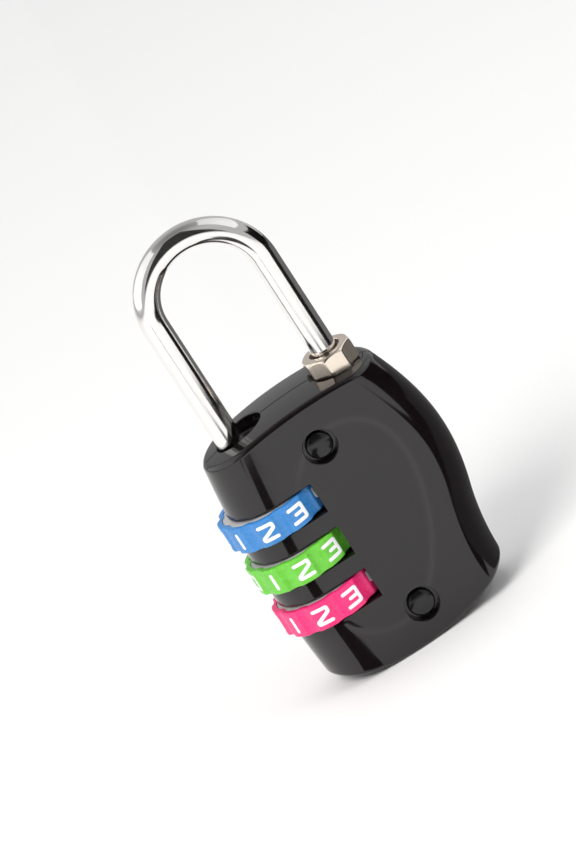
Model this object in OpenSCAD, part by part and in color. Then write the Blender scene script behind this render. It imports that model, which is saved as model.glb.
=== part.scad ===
// Three-dial combination padlock, an assembly of separately named pieces.
// Frame: +Z runs along the shackle, the arched base touches z = 0, -Y is the front, and the dial
// axis and the shackle's heel leg stand either side of x = 0.

/* [Preview] */
// Piece to draw

/* [Shackle] */
// Diameter of the shackle rod
rod_d = 3.5; // [3:0.1:4]
// Distance between the two leg axes
leg_gap = 16.1; // [14:0.1:18]
// Height of the bow's centre above the base
bow_z = 52.95; // [48:0.05:58]
// Height of the toe leg's tip when locked
toe_end_z = 28.6; // [28:0.1:29.5]
// Height of the heel leg's tip when locked
heel_end_z = 9.7; // [9.4:0.1:10]

/* [Case] */
// Height of the case at its crest
case_h = 36.2; // [34:0.1:38]
// Half the case's thickness at its fullest
half_t = 6.22; // [5.8:0.02:6.6]
// Radius of the front and rear faces in plan
face_r = 136; // [80:1:200]
// Length of the rounded right-hand end
end_a = 4.2; // [3:0.1:5]
// Rounding round the top rim
top_r = 0.6; // [0.4:0.1:1.2]
// Rounding round the bottom rim
base_r = 0.6; // [0.4:0.1:1.2]
// Radius of the arched base
base_arch_r = 33; // [28:1:60]
// Depth of the oval relief line in the front face
relief_depth = 0.06; // [0.04:0.01:0.2]
// Width of the oval relief line
relief_w = 0.35; // [0.2:0.05:0.6]

/* [Dials] */
// Radius over the digit pads
dial_r = 7.15; // [6.8:0.05:7.4]
// Height of each dial
dial_h = 3.7; // [3.4:0.05:3.9]
// Height of the middle dial's centre
dial_mid_z = 17.8; // [17:0.1:18.5]
// Distance from one dial to the next
dial_pitch = 6.65; // [6.3:0.05:7]
// Radius of the chamber each dial turns in
chamber_r = 8.3; // [7.8:0.05:8.4]
// Height of each window
window_h = 4.2; // [4:0.05:4.4]
// Turn of the middle dial from its digit position
mid_phase = 10; // [0:1:18]
// Depth of the flutes between the digits
flute_depth = 0.3; // [0.1:0.05:0.4]

/* [Latch] */
// How far the latch's nose reaches into the toe leg's notch
nose_in = 0.5; // [0.3:0.05:0.7]
// Height of the latch's underside
latch_z = 31.5; // [31.3:0.05:31.8]

/* [Collar] */
// Corner radius of the eight-sided collar nut
nut_r = 3.5; // [3.2:0.05:3.7]
// Height of the collar nut's top face
nut_top_z = 38.5; // [38:0.1:39]

/* [Fastenings] */
// Height of the lower rivet
rivet_low_z = 5.05; // [4.5:0.05:6]
// Height of the upper rivet
rivet_high_z = 30; // [29.5:0.05:30.4]
// Radius of a rivet's front head
rivet_head_r = 1.8; // [1.6:0.05:2]

/* [Hidden] */
$fn = 96;
black = [0.1, 0.1, 0.105];
nickel = [0.8, 0.76, 0.7];
chrome = [0.85, 0.85, 0.86];
steel = [0.6, 0.6, 0.62];
dx = -8.32;
hx = dx + leg_gap;
rx = dx + 9.1;
rod_r = rod_d / 2;
bow_r = leg_gap / 2;
// fullest point of the faces, crest of the top and lowest point of the base, from the dial axis
xm = 6.7;
crest_x = 10.2;
base_x = 6;
arch_r = 53;
crown = 0.35;
// heights the case's plan is taken at, at the top rim and the base
top_nominal = 35.2;
base_nominal = 2;
blue_z = dial_mid_z + dial_pitch;
green_z = dial_mid_z;
pink_z = dial_mid_z - dial_pitch;
core_top = 33.9;
core_base = 27.6;
latch_h = 1.5;
// relief oval: centre, half lengths, tilt and how squarish it is
oval_x = 8.375;
oval_z = 18.05;
oval_a = 14.02;
oval_b = 8.26;
oval_tilt = 69.6;
oval_power = 2.21;
// pockets: floors, roofs and radii
heel_floor = 3.6;
heel_roof = 21.6;
heel_pocket_r = 2.9;
spindle_floor = 2;
spindle_r = 1.5;
spindle_pocket_r = 2.3;
core_r = 3.85;
core_pocket_top = 33.4;
core_seat_z = 33;
toe_mouth_r = 3;
toe_mouth_x = 1.5;
nut_seat_z = 35.6;
collar_stem_r = 2.7;
collar_stem_z = 32.6;
counterbore_r = 2.25;
counterbore_y = 5.1;
rivet_shank_r = 1.1;
tail_seat_r = 1.95;
tail_seat_y = 5.3;
hub_r = 4.97;
hub_lip_r = 6.32;
gap = 0.05;
flute_r = 2;
digit_step = 36;
latch_x1 = dx + rod_r - nose_in;
latch_x2 = -1.9;
spring_x2 = 3.3;

// ---- case surface: plan sections in x from the dial axis, inset by e ----
function left_x(z) = -6.06 + (z - 15) * (z - 15) / 278;
function right_x(z) = z > 12 ? 23.8 - (z - 21) * (z - 21) / 64
    : 22.53 - 0.28125 * (12 - z) + (12 - z) * (12 - z) / 70;
n_left = 13;
n_face = 12;
n_end = 12;
n_sec = n_left + n_face + n_end;
function section(z, e) =
    let (L = left_x(z), R = right_x(z), D = xm - L,
        r = (2 * face_r * half_t - half_t * half_t - D * D) / (2 * face_r - 2 * D),
        c = L + r, u = atan2(xm - c, face_r - half_t), cx = R - end_a,
        b0 = half_t - (cx - xm) * (cx - xm) / (2 * face_r), cp = (cx - xm) / face_r * end_a / b0,
        x1 = cx + end_a * cp, v = asin((x1 - xm) / face_r),
        b = (half_t - face_r + face_r * cos(v)) / sqrt(1 - cp * cp), f1 = acos(cp))
    concat(
        [for (i = [0 : n_left]) let (a = 180 + (90 + u - 180) * i / n_left)
            [c + (r - e) * cos(a), i == 0 ? 0 : (r - e) * sin(a)]],
        [for (i = [1 : n_face]) let (w = u + (-v - u) * i / n_face)
            [xm - (face_r - e) * sin(w), half_t - face_r + (face_r - e) * cos(w)]],
        [for (i = [1 : n_end]) let (p = f1 * (1 - i / n_end),
            nx = cos(p) / end_a, ny = sin(p) / b, n = sqrt(nx * nx + ny * ny))
            [cx + end_a * cos(p) - e * nx / n, i == n_end ? 0 : b * sin(p) - e * ny / n]]);
function top_z(x, y) = case_h - (x - crest_x) * (x - crest_x) / (2 * arch_r) - crown * y * y / 38;
function base_z(x) = (x - base_x) * (x - base_x) / (2 * base_arch_r);
// each row: [inset, kind, parameter]; kind 0 is the base rim, 1 the side, 2 the top rim
rows = concat([for (a = [0, 30, 60, 90]) [base_r * (1 - sin(a)), 0, a]],
    [for (i = [1 : 21]) [0, 1, i / 21]], [for (a = [22.5, 45, 67.5, 90]) [top_r * (1 - cos(a)), 2, a]]);
function level(k, low, high) = k[1] == 0 ? low + base_r * (1 - cos(k[2]))
    : k[1] == 1 ? low + base_r + k[2] * (high - low - top_r - base_r)
    : high - top_r + top_r * sin(k[2]);
cap = [0, 0.4, 0.75];
n_cap = len(cap);
n_rows = len(rows) + 2 * n_cap;
cap_inset = 1.2;

// the rim drawn in towards a line on the mid-plane, f = 0 on the line and 1 on the rim
function drawn_in(rim, f) = let (x0 = rim[0][0], x1 = rim[n_sec][0], shrink = 1 - 2 * cap_inset / (x1 - x0))
    [for (p = rim) [p[0] * f + (x0 + cap_inset + (p[0] - x0) * shrink) * (1 - f), p[1] * f]];
module half_shell_solid() {
    foot = section(base_nominal, base_r);
    brow = section(top_nominal, top_r);
    floor_rows = [for (f = cap) [for (p = drawn_in(foot, f)) [p[0] + dx, -p[1], base_z(p[0])]]];
    side = [for (k = rows) [for (p = section(level(k, base_nominal, top_nominal), k[0]))
        [p[0] + dx, -p[1], level(k, base_z(p[0]), top_z(p[0], p[1]))]]];
    lid = [for (j = [n_cap - 1 : -1 : 0])
        [for (p = drawn_in(brow, cap[j])) [p[0] + dx, -p[1], top_z(p[0], p[1])]]];
    pts = [for (r = concat(floor_rows, side, lid)) for (p = r) p];
    w = n_sec + 1;
    faces = concat(
        [for (j = [0 : n_rows - 2]) for (i = [0 : n_sec - 1]) let (a = j * w + i) [a, a + w, a + w + 1]],
        [for (j = [0 : n_rows - 2]) for (i = [0 : n_sec - 1]) let (a = j * w + i) [a, a + w + 1, a + 1]],
        [concat([for (i = [0 : n_sec - 1]) i], [for (j = [0 : n_rows - 1]) j * w + n_sec],
            [for (i = [1 : n_sec - 1]) (n_rows - 1) * w + n_sec - i],
            [for (j = [n_rows - 1 : -1 : 1]) j * w])]);
    polyhedron(points = pts, faces = [for (i = [len(faces) - 1 : -1 : 0]) faces[i]], convexity = 6);
}

// ---- pockets common to both halves of the case ----
module toe_mouth(z0, z1) {
    x = dx + toe_mouth_x;
    for (side = [-0.5, 0.5])
        translate([x + side, 0, z0]) cylinder(r = toe_mouth_r, h = z1 - z0);
    translate([x - 0.5, -toe_mouth_r, z0]) cube([1, 2 * toe_mouth_r, z1 - z0]);
}
module pockets() {
    for (z = [blue_z, green_z, pink_z])
        translate([dx, 0, z - window_h / 2]) cylinder(r = chamber_r, h = window_h);
    translate([dx, 0, 6]) cylinder(r = spindle_r + gap, h = 22);
    translate([dx, 0, spindle_floor]) cylinder(r = spindle_pocket_r, h = 6.5 - spindle_floor);
    translate([dx, 0, core_base]) cylinder(r = core_r + gap, h = core_pocket_top - core_base);
    toe_mouth(core_seat_z, case_h + 1);
    translate([dx + 3, -2.1 - gap, latch_z - gap])
        cube([latch_x2 + 0.2 - dx, 4.2 + 2 * gap, latch_h + 2 * gap]);
    translate([latch_x2 + 0.1, 0, latch_z + latch_h / 2]) rotate([0, 90, 0])
        cylinder(r = 0.8, h = spring_x2 - latch_x2 - 0.1);
    translate([hx, 0, heel_floor]) cylinder(r = heel_pocket_r, h = heel_roof - heel_floor);
    translate([hx, 0, heel_roof - 0.1]) cylinder(r = rod_r + 0.1, h = 34 - heel_roof);
    translate([hx, 0, collar_stem_z - 0.1]) cylinder(r = collar_stem_r + 0.02, h = 5);
    translate([hx, 0, nut_seat_z]) cylinder(r = nut_r + 0.25, h = 2);
    translate([-0.75, -1.7, 8]) cube([0.85, 3.4, 19.3]);
    for (z = [rivet_low_z, rivet_high_z]) {
        translate([rx, 8, z]) rotate([90, 0, 0]) cylinder(r = rivet_shank_r + gap, h = 16);
        translate([rx, -counterbore_y, z]) rotate([90, 0, 0]) cylinder(r = counterbore_r, h = 3);
        translate([rx, tail_seat_y, z]) rotate([-90, 0, 0]) cylinder(r = tail_seat_r, h = 3);
    }
}
// a point of the relief's tilted squarish oval, grown outwards by g
function oval_pt(t, g) = let (c = cos(t), s = sin(t), n = 2 / oval_power,
    u = (oval_a + g) * sign(c) * pow(abs(c), n), v = (oval_b + g) * sign(s) * pow(abs(s), n))
    [dx + oval_x + u * cos(oval_tilt) - v * sin(oval_tilt), oval_z + u * sin(oval_tilt) + v * cos(oval_tilt)];
module relief() {
    difference() {
        translate([0, -3, 0]) rotate([90, 0, 0]) linear_extrude(height = 5) difference() {
            polygon([for (i = [0 : 47]) oval_pt(i * 7.5, relief_w / 2)]);
            polygon([for (i = [0 : 47]) oval_pt(i * 7.5, -relief_w / 2)]);
        }
        translate([dx + xm, face_r - half_t, -1])
            cylinder(r = face_r - relief_depth, h = 40, $fn = 256);
    }
}
module front_case() {
    color(black) difference() {
        half_shell_solid();
        pockets();
        relief();
    }
}
module rear_case() {
    color(black) difference() {
        mirror([0, 1, 0]) half_shell_solid();
        pockets();
    }
}

// ---- shackle group ----
module shackle() {
    color(chrome) difference() {
        union() {
            translate([dx, 0, toe_end_z + 0.4]) cylinder(r = rod_r, h = bow_z - toe_end_z - 0.4);
            translate([dx, 0, toe_end_z]) cylinder(r1 = rod_r - 0.4, r2 = rod_r, h = 0.4);
            translate([hx, 0, heel_end_z]) cylinder(r = rod_r, h = bow_z - heel_end_z);
            translate([(dx + hx) / 2, 0, bow_z]) rotate([90, 0, 0])
                rotate_extrude(angle = 180) translate([bow_r, 0]) circle(r = rod_r);
        }
        // latch notch on the side that faces the heel leg
        translate([dx + rod_r - nose_in - 0.1, -3, latch_z - 1.9]) cube([2, 6, latch_h + 2.2]);
        // clip groove
        translate([hx, 0, heel_end_z + 0.8]) difference() {
            cylinder(r = 2.5, h = 0.62);
            translate([0, 0, -1]) cylinder(r = 1.3, h = 3);
        }
    }
}
module shackle_collar() {
    z = nut_seat_z;
    t = nut_top_z;
    color(nickel) difference() {
        union() {
            translate([hx, 0, collar_stem_z]) cylinder(r = collar_stem_r, h = z + 0.1 - collar_stem_z);
            intersection() {
                translate([hx, 0, z]) rotate([0, 0, 30]) cylinder(r = nut_r, h = t - z, $fn = 8);
                translate([hx, 0, 0]) rotate_extrude() polygon([[0, z], [nut_r, z], [nut_r, t - 0.55],
                    [nut_r - 0.07, t - 0.35], [nut_r - 0.25, t - 0.12], [nut_r - 0.42, t - 0.03],
                    [nut_r - 0.6, t], [0, t]]);
            }
        }
        translate([hx, 0, 32]) cylinder(r = rod_r + 0.4, h = 7);
    }
}
module collar_bush() {
    color(black) translate([hx, 0, collar_stem_z]) difference() {
        cylinder(r = rod_r + 0.38, h = nut_top_z - 0.6 - collar_stem_z);
        translate([0, 0, -1]) cylinder(r = rod_r + gap, h = 8);
    }
}
module heel_clip() {
    color(steel) translate([hx, 0, heel_end_z + 0.81]) difference() {
        cylinder(r = 2.75, h = 0.6);
        translate([0, 0, -1]) cylinder(r = 1.31, h = 3);
        translate([-4, -1.1, -1]) cube([4, 2.2, 3]);
    }
}
module spring_seat() {
    color(steel) translate([hx, 0, heel_floor]) {
        cylinder(r = 2.8, h = 0.7);
        cylinder(r = 1.35, h = 1.8);
    }
}

// ---- rivets: front head in its counterbore, shank, closed end at the back ----
module rivet(z) {
    r = rivet_head_r;
    y = counterbore_y + gap;
    tail = -tail_seat_y - gap;
    color(black) translate([rx, 0, z]) rotate([90, 0, 0]) rotate_extrude() polygon([[0, y + 0.85],
        [r - 1.3, y + 0.83], [r - 0.8, y + 0.75], [r - 0.4, y + 0.62], [r - 0.15, y + 0.45],
        [r - 0.02, y + 0.25], [r, y], [rivet_shank_r, y], [rivet_shank_r, tail], [1.75, tail],
        [1.75, tail - 0.4], [1.5, tail - 0.6], [0, tail - 0.65]]);
}
module upper_rivet() { rivet(rivet_high_z); }
module lower_rivet() { rivet(rivet_low_z); }

// ---- dials: a fluted ring over a splined hub ----
module dial(z, phase, c) {
    color(c) translate([dx, 0, z - dial_h / 2]) difference() {
        rotate_extrude() polygon([[5, 0], [dial_r - 0.2, 0], [dial_r, 0.25], [dial_r, dial_h - 0.25],
            [dial_r - 0.2, dial_h], [6.35, dial_h], [6.35, dial_h - 0.55], [5, dial_h - 0.55]]);
        for (i = [0 : 9]) rotate([0, 0, phase + digit_step * i])
            translate([dial_r + flute_r - flute_depth, 0, -1]) cylinder(r = flute_r, h = dial_h + 2);
        for (i = [0 : 4]) rotate([0, 0, phase + digit_step * (2 * i + 0.5)])
            translate([4.9, -0.55, -1]) cube([0.85, 1.1, dial_h + 0.5]);
    }
}
// a flute lies 18 degrees from each digit, and the digits stand 36 degrees apart
module blue_dial() { dial(blue_z, -90, [0.12, 0.4, 0.8]); }
module green_dial() { dial(green_z, -90 + mid_phase, [0.25, 0.75, 0.12]); }
module pink_dial() { dial(pink_z, -90, [1, 0.08, 0.3]); }
module hub(z, phase) {
    color([0.75, 0.75, 0.76]) translate([dx, 0, z - dial_h / 2]) difference() {
        union() {
            translate([0, 0, 0.1]) cylinder(r = hub_r, h = dial_h - 0.2);
            translate([0, 0, dial_h - 0.53]) cylinder(r = hub_lip_r, h = 0.45);
            for (i = [0 : 4]) rotate([0, 0, phase + digit_step * (2 * i + 0.5)])
                translate([4.5, -0.5, 0.1]) cube([1.2, 1, dial_h - 0.7]);
        }
        translate([0, 0, -1]) cylinder(r = spindle_r + gap, h = dial_h + 2);
        translate([0, 0, -1]) cylinder(r = 2.7, h = 2.3);
        // gate that lets the spindle's fin through at the opening code
        rotate([0, 0, phase + digit_step / 2]) translate([1, -0.5, -1]) cube([1.65, 1, dial_h + 2]);
    }
}
module blue_hub() { hub(blue_z, -90); }
module green_hub() { hub(green_z, -90 + mid_phase); }
module pink_hub() { hub(pink_z, -90); }
module code_spindle() {
    color(steel) translate([dx, 0, 0]) {
        translate([0, 0, 5.3]) cylinder(r = spindle_r, h = 22.2);
        translate([0, 0, 5.3]) cylinder(r = spindle_pocket_r - 0.1, h = 1.15);
        for (z = [blue_z, green_z, pink_z]) translate([1.2, -0.4, z - dial_h / 2 + 0.15])
            cube([1.35, 0.8, 0.95]);
    }
}
module spindle_bush() {
    color(steel) translate([dx, 0, spindle_floor]) difference() {
        cylinder(r = spindle_pocket_r - gap, h = 0.6);
        translate([0, 0, -1]) cylinder(r = 0.9, h = 3);
    }
}

// ---- lock core, latch and springs ----
module lock_core() {
    color([0.2, 0.2, 0.21]) difference() {
        intersection() {
            union() {
                translate([dx, 0, core_base + 0.02])
                    cylinder(r = core_r, h = core_pocket_top - gap - core_base);
                for (side = [-0.5, 0.5]) translate([dx + toe_mouth_x + side, 0, core_seat_z])
                    cylinder(r = toe_mouth_r - gap, h = core_top - core_seat_z);
                translate([dx + toe_mouth_x - 0.5, gap - toe_mouth_r, core_seat_z])
                    cube([1, 2 * (toe_mouth_r - gap), core_top - core_seat_z]);
            }
            translate([dx - 2.45, -5, 20]) cube([8, 10, 20]);
        }
        translate([dx, 0, core_base + 0.8]) cylinder(r = 1.8, h = 8);
        translate([dx, -2.15, latch_z - 0.06]) cube([6, 4.3, latch_h + 0.12]);
        translate([dx + 1.75, 1.9, core_top - 0.7]) cylinder(r = 0.5, h = 2);
        translate([dx + 2.95, 1.9, core_top - 0.7]) cylinder(r = 0.5, h = 2);
        translate([dx + 1.75, 1.4, core_top - 0.7]) cube([1.2, 1, 2]);
    }
}
module latch() {
    color(steel) difference() {
        union() {
            translate([latch_x1 + 0.6, -2.1, latch_z]) cube([latch_x2 - latch_x1 - 0.6, 4.2, latch_h]);
            translate([latch_x1, -0.9, latch_z]) cube([1, 1.8, latch_h]);
        }
        translate([latch_x2 - 0.5, 0, latch_z + latch_h / 2]) rotate([0, 90, 0])
            cylinder(r = 0.72, h = 2);
    }
}
// helix of round wire as one solid: coil radius, wire radius, height, turns, steps per turn, sides
module coil(R, w, h, turns, k, m) {
    n = turns * k;
    // the first and last turns lie flat, so that the ends sit square
    pts = [for (i = [0 : n]) let (a = 360 * i / k, t = i / n,
        s = t < 0.1 ? 0 : t > 0.9 ? 1 : (t - 0.1) / 0.8, z = w + (h - 2 * w) * s)
        for (j = [0 : m - 1]) let (q = 360 * j / m)
            [(R + w * cos(q)) * cos(a), (R + w * cos(q)) * sin(a), z + w * sin(q)]];
    faces = concat([[for (j = [0 : m - 1]) j]],
        [for (i = [0 : n - 1]) for (j = [0 : m - 1])
            [i * m + j, (i + 1) * m + j, (i + 1) * m + (j + 1) % m]],
        [for (i = [0 : n - 1]) for (j = [0 : m - 1])
            [i * m + j, (i + 1) * m + (j + 1) % m, i * m + (j + 1) % m]],
        [[for (j = [m - 1 : -1 : 0]) n * m + j]]);
    polyhedron(points = pts, faces = faces, convexity = 12);
}
module spindle_spring() {
    color(steel) translate([dx, 0, spindle_floor + 0.62]) coil(1.75, 0.22, 2.65, 4, 20, 6);
}
module shackle_spring() {
    color(steel) translate([hx, 0, heel_floor + 0.72]) coil(2.15, 0.3, 5.35, 6, 22, 6);
}
module latch_spring() {
    color(steel) translate([latch_x2 - 0.48, 0, latch_z + latch_h / 2]) rotate([0, 90, 0])
        coil(0.5, 0.13, spring_x2 - latch_x2 + 0.44, 8, 16, 6);
}
module detent_spring() {
    color(steel) {
        translate([-0.3, -1.6, 8.1]) cube([0.25, 3.2, 19]);
        for (z = [blue_z, green_z, pink_z]) translate([0, 1.2, z]) rotate([90, 0, 0])
            linear_extrude(height = 2.4) polygon([[-0.3, -1.3], [-0.3, 1.3], [-0.45, 1.3],
                [-1.08, 0.25], [-1.08, -0.25], [-0.45, -1.3]]);
    }
}

front_case();
rear_case();
shackle();
shackle_collar();
collar_bush();
upper_rivet();
lower_rivet();
blue_dial();
green_dial();
pink_dial();
blue_hub();
green_hub();
pink_hub();
code_spindle();
spindle_spring();
detent_spring();
lock_core();
latch();
latch_spring();
heel_clip();
shackle_spring();
spring_seat();
spindle_bush();
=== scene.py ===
"""Looks of a three-dial combination padlock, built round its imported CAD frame.

Lengths are in millimetres up to the mesh step, which stores metres.
"""

import math

import bmesh
import bpy
import numpy as np
from mathutils import Matrix, Vector
from mathutils.bvhtree import BVHTree


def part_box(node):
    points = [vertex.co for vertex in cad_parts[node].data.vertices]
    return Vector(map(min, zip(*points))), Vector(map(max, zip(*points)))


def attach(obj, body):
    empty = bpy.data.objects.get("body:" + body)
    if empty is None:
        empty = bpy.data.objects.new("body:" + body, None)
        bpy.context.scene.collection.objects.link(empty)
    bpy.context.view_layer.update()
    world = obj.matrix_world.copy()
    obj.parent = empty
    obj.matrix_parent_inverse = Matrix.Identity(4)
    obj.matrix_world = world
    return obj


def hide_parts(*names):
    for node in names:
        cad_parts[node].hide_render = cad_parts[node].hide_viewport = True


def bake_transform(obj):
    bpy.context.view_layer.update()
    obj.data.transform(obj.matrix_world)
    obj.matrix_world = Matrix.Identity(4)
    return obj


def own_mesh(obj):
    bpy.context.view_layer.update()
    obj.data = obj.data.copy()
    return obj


MM = 0.001
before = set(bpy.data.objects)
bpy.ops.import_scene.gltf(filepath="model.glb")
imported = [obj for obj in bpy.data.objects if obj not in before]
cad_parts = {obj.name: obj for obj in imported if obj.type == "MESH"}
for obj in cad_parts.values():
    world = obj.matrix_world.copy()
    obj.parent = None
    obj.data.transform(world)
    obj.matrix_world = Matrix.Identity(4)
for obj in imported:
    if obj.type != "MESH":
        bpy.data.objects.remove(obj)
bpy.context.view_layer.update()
FINE = 1.0  # scales the point counts

# ---- driving sizes: the CAD part's, with the edges, the seam and the line's depth chosen for looks ----
SPINDLE_R = 2.2
DIAL_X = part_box("code_spindle")[0][0] / MM + SPINDLE_R
HEEL_X = DIAL_X + 16.1
RIVET_X = DIAL_X + 9.1
RIVET_Z = (5.05, 30.0)
# shackle
ROD_R = 1.75
BOW_Z = 52.95
TOE_END = 28.6
TOE_ROUND = 0.4
NOTCH_DEPTH = 0.6
HEEL_END = 9.7
HEEL_ROUND = 0.3
CLIP_GROOVE_R = 1.3
# case: x in its curves is measured from the dial axis
CASE_H = 36.2
HALF_T = 6.22
FACE_R = 136.0
FACE_X = 6.7
END_A = 4.2
LEFT_X = -6.06
LEFT_Z = 15.0
LEFT_R = 139.0
SHOULDER_X = 23.8
SHOULDER_Z = 21.0
SHOULDER_R = 32.0
WAIST_X = 22.53
WAIST_Z = 12.0
WAIST_R = 35.0
CREST_X = 10.2
CREST_R = 53.0
CROWN = 0.35
CROWN_SPREAD = 38.0
BASE_X = 6.0
BASE_ARCH_R = 33.0
TOP_R = 0.6
BASE_R = 0.6
TOP_LEVEL = 35.2
BASE_LEVEL = 2.0
EDGE = 0.16  # rounding of the case's cut edges
SEAM_DEPTH = 0.1
SEAM_HALF = 0.14
# the oval line on the front face, a shallow groove whose lighter colour is a painted reflection: centre, half
# lengths, tilt, squareness, depth and half width
OVAL_X = 8.375
OVAL_Z = 18.05
OVAL_A = 14.02
OVAL_B = 8.26
OVAL_TILT = 69.6
OVAL_POWER = 2.21
LINE_DEPTH = 0.028
LINE_HALF = 0.42
LINE_Y = 4.5  # the line is only on the skin this far out from the mid-plane
FADE_X, FADE_W, FADE_Z = 2.5, 3.0, 8.5  # above FADE_Z the line comes in over FADE_W from FADE_X
# round pockets: radius, and heights of floor and roof
SPINDLE_BORE = (1.55, 6.0, 28.0)
SPINDLE_POCKET = (2.3, 2.0, 6.5)
CORE_POCKET = (3.9, 27.6, 33.4)
HEEL_POCKET = (2.9, 3.6, 21.6)
ROD_BORE = (1.85, 21.5, 34.0)
STEM_BORE = (2.72, 32.5, 37.5)
# rivet seats: radius, and how far the floor is from the mid-plane
HEAD_SEAT = (2.25, 5.1)
TAIL_SEAT = (1.95, 5.3)
# pockets that open in the top: radius, and height of the floor
NUT_SEAT = (3.75, 35.6)
MOUTH = (3.0, 33.0)
MOUTH_X = DIAL_X + 1.5
MOUTH_HALF = 0.5
RIVET_BORE_R = 1.15
DETENT_SLOT = (-0.75, 0.1, -1.7, 1.7, 8, 27.3)  # x, y and z, from and to
# dials: height of each one's middle and its turn in degrees
DIALS = {"blue": (24.45, 0.0), "green": (17.8, 10.0), "pink": (11.15, 0.0)}
DIAL_R = 7.15
DIAL_H = 3.7
FLUTE_R = 2.0
FLUTE_OUT = 1.7
RIM_IN = 6.35
BAND_Z = 0.55
CHAMBER_R = 8.3
WINDOW_H = 4.2
# latch and its spring, with the half widths of their slots
LATCH_Z = 31.5
LATCH_H = 1.5
LATCH_BACK = -1.9
LATCH_HALF = 2.15
LATCH_TRAVEL = 3.0
SPRING_ENDS = (-2.38, 3.3)
COIL_HALF = 0.8
# collar nut: radius to its corners, and the turn in degrees
NUT_R = 3.5
NUT_TURN = 30.0


# ---------------------------------------------------------------- materials
def node_of(tree, kind, **values):
    """A new shader node with its inputs or properties set."""
    n = tree.nodes.new(kind)
    for key, value in values.items():
        if key in n.inputs:
            n.inputs[key].default_value = value
        else:
            setattr(n, key, value)
    return n


def material(name, color, rough, metal=0.0, vary=0.1, rough_vary=0.05, scale=400.0, bump=0.0, stretch=None,
             bump_scale=None, line=None, **sockets):
    """A principled material whose colour and roughness wander a little, with a fine bump.

    line is a painted reflection colour that a mesh's "line" attribute brings in.
    """
    m = bpy.data.materials.new(name)
    m.use_nodes = True
    t = m.node_tree
    shader = t.nodes["Principled BSDF"]
    shader.inputs["Metallic"].default_value = metal
    for key, value in sockets.items():
        shader.inputs[key.replace("_", " ")].default_value = value
    coords = node_of(t, "ShaderNodeTexCoord")
    mapping = node_of(t, "ShaderNodeMapping")
    if stretch:
        mapping.inputs["Scale"].default_value = stretch
    t.links.new(coords.outputs["Object"], mapping.inputs["Vector"])
    noise = node_of(t, "ShaderNodeTexNoise", Scale=scale, Detail=4.0, Roughness=0.6)
    t.links.new(mapping.outputs["Vector"], noise.inputs["Vector"])
    ramp = node_of(t, "ShaderNodeValToRGB")
    low = [c * (1 - vary) for c in color]
    high = [min(1.0, c * (1 + vary)) for c in color]
    ramp.color_ramp.elements[0].position = 0.3
    ramp.color_ramp.elements[1].position = 0.7
    ramp.color_ramp.elements[0].color = (*low, 1)
    ramp.color_ramp.elements[1].color = (*high, 1)
    t.links.new(noise.outputs["Fac"], ramp.inputs["Fac"])
    t.links.new(ramp.outputs["Color"], shader.inputs["Base Color"])
    # the "line" attribute mixes in a painted reflection colour
    if line:
        mark = node_of(t, "ShaderNodeAttribute", attribute_name="line")
        mix = node_of(t, "ShaderNodeMix", data_type="RGBA")
        mix.inputs[7].default_value = (*line, 1)
        t.links.new(mark.outputs["Fac"], mix.inputs[0])
        t.links.new(ramp.outputs["Color"], mix.inputs[6])
        t.links.new(mix.outputs[2], shader.inputs["Base Color"])
    spread = node_of(t, "ShaderNodeMapRange")
    spread.inputs["From Min"].default_value = 0.3
    spread.inputs["From Max"].default_value = 0.7
    spread.inputs["To Min"].default_value = max(0.02, rough - rough_vary)
    spread.inputs["To Max"].default_value = rough + rough_vary
    t.links.new(noise.outputs["Fac"], spread.inputs["Value"])
    t.links.new(spread.outputs["Result"], shader.inputs["Roughness"])
    if bump:
        fine = node_of(t, "ShaderNodeTexNoise", Scale=bump_scale or scale * 3, Detail=3.0, Roughness=0.5)
        t.links.new(mapping.outputs["Vector"], fine.inputs["Vector"])
        b = node_of(t, "ShaderNodeBump", Strength=bump, Distance=0.00005)
        t.links.new(fine.outputs["Fac"], b.inputs["Height"])
        t.links.new(b.outputs["Normal"], shader.inputs["Normal"])
    return m


def dial_plastic(name, color, vary, depth):
    """A dial's slightly translucent plastic; depth is how far each colour scatters, in metres."""
    return material(name, color, 0.27, vary=vary, rough_vary=0.05, scale=700, bump=0.08, bump_scale=2500,
                    Subsurface_Weight=0.06, Subsurface_Radius=depth)


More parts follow.
